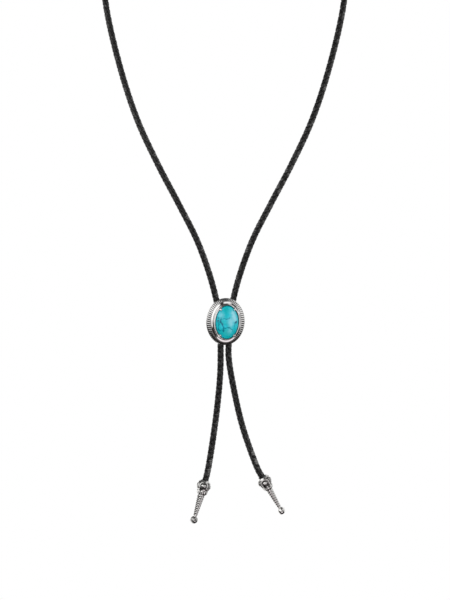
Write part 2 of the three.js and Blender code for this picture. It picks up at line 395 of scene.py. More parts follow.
def ramp(tree, value, *stops):
    """A colour for each value: every stop is (position, colour), in rising order."""
    node = add(tree, "ShaderNodeValToRGB", Fac=value)
    elements = node.color_ramp.elements
    while len(elements) < len(stops):
        elements.new(0.5)
    for element, (position, colour) in zip(elements, stops):
        element.position = position
        element.color = (*colour, 1)
    return node.outputs["Color"]


def noise_of(tree, scale, detail=3.0, roughness=0.5, vector=None):
    return add(tree, "ShaderNodeTexNoise", Scale=scale, Detail=detail, Roughness=roughness,
               Vector=vector or add(tree, "ShaderNodeTexCoord").outputs["Object"]).outputs["Fac"]


def attribute(tree, name):
    return add(tree, "ShaderNodeAttribute", attribute_name=name).outputs["Fac"]


def bump(tree, height, distance, strength):
    return add(tree, "ShaderNodeBump", Height=height, Distance=distance, Strength=strength).outputs["Normal"]


def new_material(name):
    material = bpy.data.materials.new(name)
    material.use_nodes = True
    tree = material.node_tree
    return material, tree, tree.nodes["Principled BSDF"]


def new_group(name, kind, inputs, outputs):
    """A node group, from the names and kinds of its sockets: its tree, what comes in, and its end node."""
    tree = bpy.data.node_groups.new(name, kind)
    for in_out, sockets in (("INPUT", inputs), ("OUTPUT", outputs)):
        for label, socket_kind in sockets.items():
            tree.interface.new_socket(label, in_out=in_out, socket_type=f"NodeSocket{socket_kind}")
    return tree, tree.nodes.new("NodeGroupInput").outputs, tree.nodes.new("NodeGroupOutput")


# ---------------------------------------------------------------- materials

def black_leather():
    """Dyed and waxed leather: fine grain, creases along the lace, painted shade where a lace dips under, a
    painted highlight on its front flanks.
    """
    material, tree, shader = new_material("black_leather")
    lace = vector_of(tree, X=scaled(tree, attribute(tree, "lace_along"), 0.35),
                     Y=scaled(tree, attribute(tree, "lace_across"), 4.0))
    creases = noise_of(tree, 1.6, detail=4, roughness=0.6, vector=lace)
    grain = noise_of(tree, 2400, detail=3, roughness=0.6)
    dye = noise_of(tree, 150, detail=2)
    # Painted shade: darker where a lace dips under its neighbours.
    sunken_shade = map_range(tree, attribute(tree, "lace_height"), 0.55, 0.0, 0.0, 0.75)
    # Painted highlight: paler colour on the laces' front flanks.
    painted_sheen = map_range(tree, attribute(tree, "lace_rubbed"), 0, 1)
    colour = ramp(tree, dye, (0.35, (0.0045, 0.0043, 0.0045)), (0.7, (0.0085, 0.0082, 0.0080)))
    colour = mix(tree, map_range(tree, creases, 0.5, 0.75, 0.0, 0.55), colour, (0.018, 0.017, 0.016))
    colour = mix(tree, sunken_shade, colour, (0.003, 0.003, 0.003))
    colour = mix(tree, painted_sheen, colour, (0.17, 0.168, 0.165))
    relief = arithmetic(tree, "ADD", scaled(tree, grain, 0.35), creases)
    feed(tree, shader, Base_Color=colour, Roughness=map_range(tree, creases, 0.3, 0.75, 0.18, 0.36),
         Specular_IOR_Level=0.38, Normal=bump(tree, relief, 0.06 * MM, 0.7))
    return material


def worn_metal_group():
    """Wear shared by every metal here: recesses keep their dark tarnish, faces get fine scratches. The same
    recess darkening also carries painted shade on a tip's left side and at the bezel's foot.
    """
    tree, given, end = new_group("worn_metal", "ShaderNodeTree", {
        "Metal": "Color", "Tarnish": "Color", "Tarnish Share": "Float", "Recess": "Float", "Polish": "Float",
    }, {"Color": "Color", "Roughness": "Float", "Height": "Float"})
    cloud = noise_of(tree, 380)
    blotch = noise_of(tree, 1100)
    scratches = noise_of(tree, 3600, detail=2)
    uneven = scaled(tree, given["Recess"], map_range(tree, blotch, 0.3, 0.6, 0.75, 1.1))
    dark = scaled(tree, map_range(tree, uneven, 0.2, 0.85), given["Tarnish Share"])
    clouded = scaled(tree, given["Polish"], map_range(tree, cloud, 0.3, 0.7, 0.7, 1.35))
    feed(tree, end, Color=mix(tree, dark, given["Metal"], given["Tarnish"]),
         Roughness=arithmetic(tree, "MULTIPLY_ADD", dark, 0.3, clouded), Height=scratches)
    return tree


WORN_METAL = worn_metal_group()


def metal(name, colour, polish, tarnish, tarnish_share):
    material, tree, shader = new_material(name)
    worn = add(tree, "ShaderNodeGroup", node_tree=WORN_METAL, Metal=(*colour, 1), Tarnish=(*tarnish, 1),
               Tarnish_Share=tarnish_share, Recess=attribute(tree, "recess"), Polish=polish).outputs
    feed(tree, shader, Base_Color=worn["Color"], Roughness=worn["Roughness"], Metallic=1.0,
         Normal=bump(tree, worn["Height"], 0.008 * MM, 0.3))
    return material


def turquoise():
    """Polished turquoise: soft blue and green clouds, a painted highlight in the pale clouds at the upper
    right, darker veins a little below the polish.
    """
    material, tree, shader = new_material("turquoise")
    cloud = noise_of(tree, 230, detail=4, roughness=0.55)
    fine = noise_of(tree, 1500)
    vein = attribute(tree, "vein")
    body = ramp(tree, cloud, (0.3, (0.0, 0.42, 0.49)), (0.5, (0.004, 0.55, 0.64)), (0.72, (0.04, 0.63, 0.80)))
    body = mix(tree, attribute(tree, "green"), body, (0.0, 0.47, 0.49))
    # Painted highlight: the pale clouds along the upper right stand in for the stone's sheen.
    body = mix(tree, attribute(tree, "pale"), body, (0.33, 0.745, 0.855))
    body = mix(tree, map_range(tree, fine, 0.55, 0.8, 0.0, 0.25), body, (0.002, 0.30, 0.37))
    body = mix(tree, vein, body, (0.0, 0.11, 0.20))
    sunk_veins = map_range(tree, vein, 0, 1, 1, 0)
    feed(tree, shader, Base_Color=body, Roughness=0.2, Specular_IOR_Level=0.38,
         Normal=bump(tree, sunk_veins, 0.05 * MM, 0.4))
    return material


# ---------------------------------------------------------------- rings of grains, by Geometry Nodes

def finish_tree(tree, given, end, geometry):
    """Ends a Geometry Nodes tree: instances made real, and the material given to all of it."""
    realized = add(tree, "GeometryNodeRealizeInstances", Geometry=geometry)
    feed(tree, end, Geometry=add(tree, "GeometryNodeSetMaterial", Geometry=realized.outputs[0],
                                 Material=given["Material"]).outputs[0])
    return tree


def grain_ring_tree():
    """Adds a ring of rounded grains, leaning with the surface under them, to what comes in."""
    tree, given, end = new_group("ring_of_grains", "GeometryNodeTree", {
        "Geometry": "Geometry", "Count": "Int", "Radius": "Float", "Lift": "Float", "Grain Size": "Vector",
        "Slope": "Float", "Taper": "Float", "Variation": "Float", "Seed": "Int", "Material": "Material",
    }, {"Geometry": "Geometry"})
    circle = add(tree, "GeometryNodeCurvePrimitiveCircle", mode="RADIUS", Resolution=256,
                 Radius=given["Radius"])
    lifted = add(tree, "GeometryNodeSetPosition", Geometry=circle.outputs["Curve"],
                 Offset=vector_of(tree, Z=given["Lift"]))
    points = add(tree, "GeometryNodeCurveToPoints", mode="COUNT", Curve=lifted.outputs[0],
                 Count=given["Count"])

    outwards = vector_arithmetic(tree, "CROSS_PRODUCT", points.outputs["Tangent"], (0, 0, 1))
    level = vector_arithmetic(tree, "SCALE", outwards, Scale=arithmetic(tree, "SINE", given["Slope"]))
    upright = vector_of(tree, Z=arithmetic(tree, "COSINE", given["Slope"]))
    facing = add(tree, "FunctionNodeAxesToRotation", primary_axis="Z", secondary_axis="X",
                 Primary_Axis=vector_arithmetic(tree, "ADD", level, upright), Secondary_Axis=outwards)

    ball = add(tree, "GeometryNodeMeshUVSphere", Segments=14, Rings=8, Radius=1.0)
    place = add(tree, "GeometryNodeInputPosition").outputs[0]
    along = add(tree, "ShaderNodeSeparateXYZ", Vector=place).outputs["X"]
    width = arithmetic(tree, "SUBTRACT", 1.0, scaled(tree, along, given["Taper"]))
    tapered = vector_arithmetic(tree, "MULTIPLY", place, vector_of(tree, X=1.0, Y=width, Z=1.0))
    grain = add(tree, "GeometryNodeSetPosition", Geometry=ball.outputs["Mesh"], Position=tapered)
    smoothed = add(tree, "GeometryNodeSetShadeSmooth", Geometry=grain.outputs[0])

    chance = add(tree, "FunctionNodeRandomValue", data_type="FLOAT", Seed=given["Seed"],
                 Min=arithmetic(tree, "SUBTRACT", 1.0, given["Variation"]),
                 Max=arithmetic(tree, "ADD", 1.0, given["Variation"]))
    size = vector_arithmetic(tree, "SCALE", given["Grain Size"], Scale=chance.outputs["Value"])
    placed = add(tree, "GeometryNodeInstanceOnPoints", Points=points.outputs["Points"],
                 Instance=smoothed.outputs[0], Rotation=facing.outputs[0], Scale=size)
    joined = add(tree, "GeometryNodeJoinGeometry", Geometry=placed.outputs["Instances"])
    feed(tree, joined, Geometry=given["Geometry"])
    return finish_tree(tree, given, end, joined.outputs[0])


GRAIN_RING = grain_ring_tree()


def add_nodes_modifier(obj, tree, **values):
    """A Geometry Nodes modifier with its inputs set, each found by its name with _ for each space."""
    modifier = obj.modifiers.new(tree.name, "NODES")
    modifier.node_group = tree
    for item in tree.interface.items_tree:
        key = item.name.lower().replace(" ", "_")
        if item.in_out == "INPUT" and key in values:
            modifier[item.identifier] = values[key]


def apply_modifiers(obj):
    """The object's evaluated shape as its plain mesh."""
    bpy.context.view_layer.update()
    evaluated = obj.evaluated_get(bpy.context.evaluated_depsgraph_get())
    mesh = bpy.data.meshes.new_from_object(evaluated)
    obj.modifiers.clear()
    obj.data = mesh
    mesh.name = obj.name


# ---------------------------------------------------------------- the concho

# The plate's section, as ellipses from the back outwards and in over the front: half its width, half its
# height, how far forward of the back, all in millimetres, and how dark its recess is.
CONCHO_ROWS = [
    ("back_edge", 13.3, 15.95, 0.0, 0.5),
    ("rim_low", 13.8, 16.45, 0.1, 0.2),
    ("rim_side", 13.85, 16.5, 0.3, 0.0),
    ("rim_high", 13.84, 16.49, 0.6, 0.0),
    ("rim_round", 13.72, 16.38, 0.8, 0.0),
    ("band_edge", 13.6, 16.29, 0.84, 0.5),
    ("band_outside", 13.4, 16.17, 1.0, 0.2),
    ("band_low", 12.9, 15.84, 1.32, 0.0),
    ("band_middle", 12.2, 15.37, 1.74, 0.0),
    ("band_high", 11.45, 14.88, 2.18, 0.0),
    ("band_inside", 10.98, 14.59, 2.46, 0.2),
    ("band_end", 10.82, 14.5, 2.52, 0.6),
    ("apron_edge", 10.7, 14.44, 2.62, 0.1),
    ("apron_low", 10.45, 14.04, 2.75, 0.0),
    ("apron_middle", 10.18, 13.61, 2.88, 0.0),
    ("apron_high", 9.92, 13.18, 3.0, 0.0),
    # At the bezel's foot the dark recess is both patina in the step and painted shade under the bezel.
    ("bezel_foot", 9.7, 12.82, 3.12, 0.7),
    ("bezel_low", 9.6, 12.66, 3.3, 0.0),
    ("bezel_side", 9.46, 12.57, 4.4, 0.0),
    ("bezel_high", 9.32, 12.48, 5.4, 0.0),
    ("bezel_shoulder", 9.22, 12.42, 5.75, 0.0),
    ("bezel_round", 9.06, 12.3, 6.02, 0.0),
    ("bezel_top", 8.84, 12.12, 6.16, 0.0),
    ("bezel_lip", 8.62, 11.93, 6.14, 0.0),
    ("bezel_edge", 8.52, 11.85, 6.04, 0.4),
    ("bezel_inside", 8.58, 11.9, 5.7, 1.0),
    ("cup_wall", 8.66, 12.0, 3.9, 1.0),
    ("cup_floor", 8.75, 12.1, 2.2, 1.0),
]
BAND_RIDGES = 66
COLUMNS_PER_RIDGE = 8
HAIR = 0.001                    # keeps a ridge's first column from rounding down into the ridge before it
RIDGE_RISE = 0.16 * MM
RIDGE_START = -0.2              # where the ridges start and how far each one's inner end is turned on from
RIDGE_SLANT = 0.5               # there, as shares of the way from one ridge to the next
RIDGE_SHARPNESS = 1.35          # 1 is a straight-sided ridge, above it a rounder one
GROOVE_TARNISH = 1.0
PLATE_CREASE = 42               # in degrees: a sharper corner than this keeps its edge
CLAW_ANGLES = (52, 128, 232, 308)
CLAW_COLUMNS = 12
CLAW_FOOT = (9.2, 12.4)         # the ellipse the claws stand on: half its width and height, in millimetres
CLAW_LEAN = (-0.1, 0.8)         # how far inwards a claw starts to lean, and where it has leant right over

# A claw's middle line, in millimetres: how far inwards, how high, half its width, half its thickness.
CLAW_STATIONS = [
    (-0.12, 4.8, 0.4, 0.10), (-0.12, 5.5, 0.86, 0.28), (0.05, 6.35, 1.05, 0.4), (0.45, 7.1, 1.0, 0.45),
    (1.0, 7.5, 0.8, 0.4), (1.5, 7.62, 0.46, 0.26), (1.72, 7.6, 0.14, 0.09),
]


def ellipse_ring(half_width, half_height, lift, columns, turn=0.0):
    angles = turn + np.arange(columns) * 2 * np.pi / columns
    return np.column_stack([half_width * np.cos(angles), half_height * np.sin(angles),
                            np.full(columns, lift)])


def claw(angle_degrees):
    """A small claw that stands on the bezel's lip and leans over the stone's edge."""
    angle = math.radians(angle_degrees)
    half_width, half_height = CLAW_FOOT
    foot = np.array([half_width * math.cos(angle), half_height * math.sin(angle), 0.0])
    inwards = -np.array([half_height * math.cos(angle), half_width * math.sin(angle), 0.0])
    inwards /= np.linalg.norm(inwards)
    along = np.array([-inwards[1], inwards[0], 0.0])
    up = np.array([0, 0, 1.0])
    turns = np.arange(CLAW_COLUMNS)[:, None] * 2 * np.pi / CLAW_COLUMNS
    rings = []
    for reach, lift, half_wide, half_thick in CLAW_STATIONS:
        lean = min(1.0, max(0.0, (reach - CLAW_LEAN[0]) / (CLAW_LEAN[1] - CLAW_LEAN[0])))
        facing = up * lean - inwards * (1 - lean)
        facing /= np.linalg.norm(facing)
        middle = foot + inwards * reach + up * lift
        rings.append((middle + half_wide * np.cos(turns) * along + half_thick * np.sin(turns) * facing) * MM)
    return mesh_from_rings("claw", rings)


def ridged_band_tree():
    """Raises slanted ridges round the band: each point knows how far round it is and how much it may rise."""
    tree, given, end = new_group("ridged_band", "GeometryNodeTree", {
        "Geometry": "Geometry", "Ridges": "Int", "Rise": "Float", "Sharpness": "Float",
        "Groove Tarnish": "Float", "Material": "Material",
    }, {"Geometry": "Geometry"})

    def named(name):
        return add(tree, "GeometryNodeInputNamedAttribute", data_type="FLOAT", Name=name).outputs["Attribute"]

    share = named("ridge_share")
    stroke = arithmetic(tree, "FRACT", scaled(tree, named("around"), given["Ridges"]))
    from_crest = arithmetic(tree, "ABSOLUTE", arithmetic(tree, "SUBTRACT", scaled(tree, stroke, 2.0), 1.0))
    height = arithmetic(tree, "SUBTRACT", 1.0, arithmetic(tree, "POWER", from_crest, given["Sharpness"]))
    rise = scaled(tree, scaled(tree, height, share), given["Rise"])
    normal = add(tree, "GeometryNodeInputNormal").outputs[0]
    groove = scaled(tree, scaled(tree, from_crest, given["Groove Tarnish"]), share)
    darkened = add(tree, "GeometryNodeStoreNamedAttribute", data_type="FLOAT", domain="POINT", Name="recess",
                   Geometry=given["Geometry"],
                   Value=arithmetic(tree, "MAXIMUM", named("recess"), groove))
    raised = add(tree, "GeometryNodeSetPosition", Geometry=darkened.outputs[0],
                 Offset=vector_arithmetic(tree, "SCALE", normal, Scale=rise))
    return finish_tree(tree, given, end, raised.outputs[0])


def concho(material):
    """The slide's plate, turned from its rows and ridged round its border, with its claws."""
    columns = BAND_RIDGES * COLUMNS_PER_RIDGE
    band = [i for i, row in enumerate(CONCHO_ROWS) if row[0].startswith("band")]
    rings, around, share, recess = [], [], [], []
    for i, (_, half_width, half_height, lift, dark) in enumerate(CONCHO_ROWS):
        slant = RIDGE_START + RIDGE_SLANT * min(max((i - band[0]) / (band[-1] - band[0]), 0), 1)
        rings.append(ellipse_ring(half_width * MM, half_height * MM, lift * MM, columns,
                                  slant * 2 * math.pi / BAND_RIDGES))
        around.extend((np.arange(columns) + HAIR) / columns)
        share.extend([1.0 if band[0] < i < band[-1] else 0.0] * columns)
        recess.extend([dark] * columns)
    plate = mesh_from_rings("plate", rings)
    float_attribute(plate, "around", around + [0.0, 0.0])
    float_attribute(plate, "ridge_share", share + [0.0, 0.0])
    float_attribute(plate, "recess", recess + [0.5, 1.0])
    blank = new_object("plate", plate)
    add_nodes_modifier(blank, ridged_band_tree(), ridges=BAND_RIDGES, rise=RIDGE_RISE,
                       sharpness=RIDGE_SHARPNESS, groove_tarnish=GROOVE_TARNISH, material=material)
    apply_modifiers(blank)
    plate = blank.data
    bpy.data.objects.remove(blank)
    smooth(plate, PLATE_CREASE)
    claws = [claw(angle) for angle in CLAW_ANGLES]
    for mesh in claws:
        smooth(mesh)
        mesh.materials.append(material)
    obj = join_meshes("concho_plate", [plate] + claws)
    obj.data.transform(FACE_FORWARD)
    finish_piece(obj, "concho")


# ---------------------------------------------------------------- the stone

STONE_COLUMNS = 300
STONE_RINGS = 84
STONE_EDGE = (8.12 * MM, 11.5 * MM)
STONE_EDGE_LIFT = 5.5 * MM
STONE_DOME = 4.0 * MM
STONE_DOME_POWER = 0.7
STONE_GIRDLE = ((8.05, 11.4, 2.5), (8.33, 11.68, 2.8), (8.33, 11.68, 4.5))

# Veins on the face, right and up of the stone's middle, in millimetres, each with its half width.
STONE_VEINS = [
    (0.19, [(-3.4, 3.0), (-2.2, 2.7), (-0.9, 2.6), (0.1, 2.85), (0.9, 3.5)]),
    (0.2, [(-5.3, 3.6), (-4.9, 2.5), (-4.3, 2.1), (-4.2, 2.0)]),
    (0.34, [(-5.0, 2.3), (-5.4, 0.6), (-4.2, -0.9), (-3.4, -3.2), (-2.8, -5.1), (-3.0, -6.1)]),
    (0.22, [(-2.5, -4.2), (-1.3, -3.5), (0.4, -3.25), (1.9, -3.8), (3.4, -5.4), (3.8, -6.3)]),
    (0.2, [(-6.0, -5.6), (-4.8, -5.2), (-3.6, -5.4)]),
    (0.14, [(4.6, 0.2), (4.9, -1.4), (4.4, -2.6)]),
    (0.18, [(-6.9, 0.8), (-6.2, -1.2), (-6.6, -3.4), (-5.8, -5.4)]),
]
# Dark spots, on the veins and beside them, each with its radius.
STONE_SPOTS = [
    ((6.1, 0.6), 0.75), ((5.5, -0.1), 0.55), ((-6.9, 1.3), 0.6), ((-5.4, 0.6), 0.6),
    ((-4.2, -0.9), 0.6), ((-6.6, 3.1), 0.35), ((-6.4, -5.2), 0.45),
]
# Soft clouds of a greener and of a paler blue: middle, radius and strength.
GREEN_CLOUDS = [
    ((-4.2, 0.2), 1.7, 0.8), ((-2.8, -6.5), 2.4, 0.85), ((0.8, -9.6), 3.0, 1.0),
    ((-0.8, 9.2), 2.4, 0.8), ((-4.6, 6.6), 1.3, 0.35), ((-6.8, -1.5), 1.6, 0.6),
]
# The pale clouds are paler stone, and those along the upper right are a painted highlight.
PALE_CLOUDS_AND_HIGHLIGHT = [
    ((-4.9, 5.2), 1.8, 0.5), ((3.5, 6.9), 1.6, 0.9), ((4.3, 4.2), 1.7, 1.0), ((5.3, 1.9), 1.3, 0.8),
    ((1.9, 1.2), 2.3, 0.75), ((2.0, -1.6), 1.6, 0.5), ((1.6, -5.6), 1.7, 0.4),
]
SLOW_WOBBLE = 0.16              # how far veins, spots and clouds stray, in millimetres
QUICK_WOBBLE = 0.08
STONE_CREASE = 60               # in degrees, as every crease here: a sharper corner keeps its edge


def to_polyline(points, line):
    """The distance from each point to a line through a few places."""
    nearest = np.full(len(points), 1e9)
    for a, b in zip(line, line[1:]):
        a, b = np.array(a), np.array(b)
        along = np.clip(((points - a) @ (b - a)) / np.dot(b - a, b - a), 0, 1)
        nearest = np.minimum(nearest, np.linalg.norm(points - (a + along[:, None] * (b - a)), axis=1))
    return nearest


def turquoise_stone():
    """The domed stone in its cup, with its veins, clouds and painted highlight held as attributes."""
    girdle = [ellipse_ring(w * MM, h * MM, lift * MM, STONE_COLUMNS) for w, h, lift in STONE_GIRDLE]
    dome = []
    for i in range(STONE_RINGS):
        share = math.cos(i / STONE_RINGS * math.pi / 2)
        lift = STONE_EDGE_LIFT + STONE_DOME * (1 - share ** 2) ** STONE_DOME_POWER
        dome.append(ellipse_ring(STONE_EDGE[0] * share, STONE_EDGE[1] * share, lift, STONE_COLUMNS))
    mesh = mesh_from_rings("stone_cabochon", girdle + dome)
    places = np.array([vertex.co[:2] for vertex in mesh.vertices]) / MM
    right, up = places.T
    wandering = places + np.column_stack([
        SLOW_WOBBLE * np.sin(up * 2.9 + 1.3) + QUICK_WOBBLE * np.sin(up * 7.1 + right * 2.0),
        SLOW_WOBBLE * np.sin(right * 3.3 + 0.4) + QUICK_WOBBLE * np.sin(right * 6.3 - up * 2.6),
    ])
    uneven = 1 + 0.45 * np.sin(right * 2.4 + up * 1.7)
    vein = np.zeros(len(places))
    for half_width, line in STONE_VEINS:
        distance = to_polyline(wandering, line) / (half_width * uneven)
        vein = np.maximum(vein, np.clip(1.5 - 0.9 * distance, 0, 1) * 0.85)
    for middle, radius in STONE_SPOTS:
        distance = np.linalg.norm(wandering - middle, axis=1) / radius
        vein = np.maximum(vein, np.clip(1.6 - 1.1 * distance, 0, 1))

    def clouds(table):
        cover = np.zeros(len(places))
        for middle, radius, strength in table:
            cover += strength * np.exp(-(np.linalg.norm(wandering - middle, axis=1) / radius) ** 2)
        return np.clip(cover, 0, 1)

    float_attribute(mesh, "vein", vein)
    float_attribute(mesh, "green", clouds(GREEN_CLOUDS))
    # The pale attribute holds paler stone and the painted highlight at the upper right.
    float_attribute(mesh, "pale", clouds(PALE_CLOUDS_AND_HIGHLIGHT))
    smooth(mesh, STONE_CREASE)
    mesh.materials.append(turquoise())
    mesh.transform(FACE_FORWARD)
    obj = new_object("stone_cabochon", mesh)
    finish_piece(obj, "turquoise_stone")


# ---------------------------------------------------------------- the clasp

CLASP_SIDES = 48
CLASP_BEVEL = 0.25 * MM
CLASP_BEVEL_FROM = 50           # in degrees: a sharper corner than this is broken
CLASP_CREASE = 35               # in degrees


def back_clasp(material):
    """A plain block with round sides and two channels, its edges broken."""
    round_radius = CLASP_BORE + CLASP_WALL
    angles = [2 * math.pi * i / CLASP_SIDES for i in range(CLASP_SIDES)]
    work = bmesh.new()

    def loop(radius, centre_at):
        """A closed outline's edges; centre_at gives how far right the arc's middle lies at an angle."""
        corners = [work.verts.new((centre_at(a) + radius * math.cos(a), radius * math.sin(a), 0))
                   for a in angles]
        return [work.edges.new(pair) for pair in zip(corners, corners[1:] + corners[:1])]

    edges = loop(round_radius, lambda a: math.copysign(CLASP_SPREAD, math.cos(a)))
    for centre in (-CLASP_SPREAD, CLASP_SPREAD):
        edges += loop(CLASP_BORE, lambda _: centre)
    bmesh.ops.triangle_fill(work, edges=edges, use_beauty=True)
    made = bmesh.ops.extrude_face_region(work, geom=list(work.faces))
    upper = [item for item in made["geom"] if isinstance(item, bmesh.types.BMVert)]
    bmesh.ops.translate(work, verts=upper, vec=(0, 0, CLASP_HEIGHT))
    bmesh.ops.recalc_face_normals(work, faces=work.faces)
    mesh = bpy.data.meshes.new("clasp_block")
    work.to_mesh(mesh)
    work.free()
    mesh.transform(Matrix.Translation((CLASP_OFFSET, CLASP_GAP + round_radius, CLASP_LOW)))
    obj = new_object("clasp_block", mesh)
    bevel = obj.modifiers.new("broken_edges", "BEVEL")
    bevel.width = CLASP_BEVEL
    bevel.segments = 3
    bevel.limit_method = "ANGLE"
    bevel.angle_limit = math.radians(CLASP_BEVEL_FROM)
    apply_modifiers(obj)
    smooth(obj.data, CLASP_CREASE)
    float_attribute(obj.data, "recess", np.zeros(len(obj.data.vertices)))
    obj.data.materials.append(material)
    obj.data.transform(SLIDE)
    finish_piece(obj, "back_clasp")


# ---------------------------------------------------------------- the tips

# Lengths are in millimetres, and every place along a tip is measured down from its mouth.
TIP_LENGTH = 31.2
TIP_COLUMNS = 144
TIP_CREASE = 70                 # in degrees
BALL_RADIUS = 2.65
BALL_REACH = (-86, 62)          # from its lowest ring to where it meets the cone, in degrees
BALL_RINGS = 28
SOCKET_RADIUS = 2.6
SOCKET_MOUTH = 0.05
SOCKET_DEPTH = 6.0
CAP_START = 1.1                 # where the cap's evenly spaced rings start
CAP_STEP = 0.22
CONE_TOP = 10.6
CONE_LOW = 25.6
CONE_STEP = 0.2
CHEVRON_PITCH = 1.6
CHEVRON_RISE = 0.34
CHEVRON_SLOPE = 0.85
ARCHES = 4
ARCH_ZONE = (1.0, 6.9)
ARCH_MIDDLE = 3.95
ARCH_REACH = (2.95, 2.55)       # to the middle of its raised line, across and up
ARCH_SPLAY = 0.12               # how far its legs turn out
ARCH_LINE = 0.36
ARCH_RISE = 0.42
PETALS = 8
PETAL_ZONE = (6.8, 10.6)        # the dark ground behind the petals
PETAL_GROUND = 0.9              # how dark it is
CAP_TARNISH = 0.85
SIDE_PAINTED_SHADE = 0.3              # painted shade added all over a tip's dark side

# The casting's outline from the mouth down to the ball: how far down, and its radius.
TIP_OUTLINE = [
    (0.0, 2.75), (0.12, 3.05), (0.4, 3.4), (0.8, 3.72), (1.05, 3.85), (1.5, 4.05), (2.2, 4.32), (3.2, 4.56),
    (4.2, 4.64), (5.2, 4.5), (6.0, 4.25), (6.6, 3.92), (7.0, 3.72), (7.6, 3.55), (8.4, 3.3), (9.2, 3.02),
    (10.0, 2.72), (10.6, 2.5), (12.0, 2.3), (25.6, 1.25), (26.0, 1.2), (26.2, 1.2),
]

# The petals, and the bosses inside the arches: how many, the ring's radius, how far down it lies, half a
# grain's length, width and thickness, its lean in degrees, its taper, how much they vary, and the seed.
TIP_GRAINS = [
    (PETALS, 3.2, 8.4, (1.7, 1.12, 0.62), 105, 0.35, 0.03, 5),
    (ARCHES, 4.52, 4.0, (1.15, 1.95, 0.6), 94, 0.0, 0.05, 8),
]


def fade_between(below, zone, upper, lower):
    """1 inside a zone, falling to 0 over a length at its upper and one at its lower end."""
    return min(1.0, (below - zone[0]) / upper, (zone[1] - below) / lower)


def tip_relief(below, angle, radius):
    """How far the cast ornament stands out of the outline there, and how deep in a recess it is."""
    rise, recess = 0.0, 0.0
    if ARCH_ZONE[0] < below < ARCH_ZONE[1]:
        arch = 2 * math.pi / ARCHES
        turn = (angle + arch / 2) % arch - arch / 2
        across = turn * radius / ARCH_REACH[0]
        upwards = (ARCH_MIDDLE - below) / ARCH_REACH[1]
        if upwards > 0:
            from_line = abs(math.hypot(across, upwards) - 1) * sum(ARCH_REACH) / 2
        else:
            from_line = abs(abs(across) - 1 - ARCH_SPLAY * upwards) * ARCH_REACH[0]
        line = math.exp(-(from_line / ARCH_LINE) ** 2)
        fade = fade_between(below, ARCH_ZONE, 0.5, 0.6)
        rise += ARCH_RISE * line * fade
        recess = max(recess, (1 - line) * fade)
    if PETAL_ZONE[0] < below < PETAL_ZONE[1]:
        recess = PETAL_GROUND * fade_between(below, PETAL_ZONE, 0.4, 0.4)
    if CONE_TOP < below < CONE_LOW:
        # 0 at the front and back seams, 1 at the sides
        fold = abs(((angle / math.pi + 0.5) % 1.0) - 0.5) * 2
        stroke = (below + CHEVRON_SLOPE * fold * radius * math.pi / 2) / CHEVRON_PITCH % 1.0
        ridge = math.sin(math.pi * stroke) ** 0.8
        fade = fade_between(below, (CONE_TOP, CONE_LOW), 0.6, 0.6)
        seam = 1 - 0.8 * math.exp(-((1 - fold) / 0.08) ** 2) - 0.5 * math.exp(-(fold / 0.06) ** 2)
        rise += CHEVRON_RISE * (ridge - 0.5) * fade * seam
        recess = max(recess, min(1.0, 1.7 * (1 - ridge)) * fade)
    return rise, recess


def tip(name, node, mouth, end, material, tarnish, ball_tarnish, painted_shade_side):
    """A cast tip with its cap, chevrons and ball, from the cord's end towards where it points."""
    belows, radii = zip(*TIP_OUTLINE)
    stations = sorted(set(np.round(np.concatenate([
        np.array(belows), np.arange(CAP_START, CONE_TOP, CAP_STEP),
        np.arange(CONE_TOP, CONE_LOW, CONE_STEP)]), 3)))
    angles = np.arange(TIP_COLUMNS) * 2 * np.pi / TIP_COLUMNS
    rings, recesses = [], []

    def add_ring(below, radius_at):
        ring, dark = [], []
        for angle in angles:
            radius, recess = radius_at(angle)
            ring.append((radius * MM * math.cos(angle), radius * MM * math.sin(angle), -below * MM))
            dark.append(recess)
        rings.append(ring)
        recesses.append(dark)

    ball_middle = TIP_LENGTH - BALL_RADIUS
    for degrees in np.linspace(*BALL_REACH, BALL_RINGS):
        angle = math.radians(degrees)
        add_ring(ball_middle - BALL_RADIUS * math.sin(angle),
                 lambda _: (BALL_RADIUS * math.cos(angle), ball_tarnish))
    for below in reversed(stations):
        plain = float(np.interp(below, belows, radii))

        def cast(angle):
            rise, recess = tip_relief(below, angle, plain)
            if below < CONE_TOP:
                return plain + rise, recess * CAP_TARNISH
            # Painted shade: towards a tip's left side its recesses are darker and its whole surface darkens
            # too.
            shaded = painted_shade_side * -math.cos(angle)
            return plain + rise, recess * tarnish * (1 + shaded) + SIDE_PAINTED_SHADE * max(0.0, shaded)

        add_ring(below, cast)
    add_ring(SOCKET_MOUTH, lambda _: (SOCKET_RADIUS, 0.6))
    add_ring(SOCKET_DEPTH, lambda _: (SOCKET_RADIUS, 1.0))
    mesh = mesh_from_rings(name, rings)
    float_attribute(mesh, "recess", np.concatenate([np.ravel(recesses), [0.0, 1.0]]))
    smooth(mesh, TIP_CREASE)
    obj = new_object(name, mesh)
    for count, radius, below, size, lean, taper, variation, seed in TIP_GRAINS:
        add_nodes_modifier(obj, GRAIN_RING, count=count, radius=radius * MM, lift=-below * MM,
                           grain_size=[half * MM for half in size], slope=math.radians(lean), taper=taper,
                           variation=variation, seed=seed, material=material)
    apply_modifiers(obj)
    downwards = (Vector(end) - Vector(mouth)).normalized()
    turn = Vector((0, 0, -1)).rotation_difference(downwards).to_matrix().to_4x4()
    obj.data.transform(Matrix.Translation(mouth) @ turn)
    finish_piece(obj, node)


# ---------------------------------------------------------------- light and surroundings

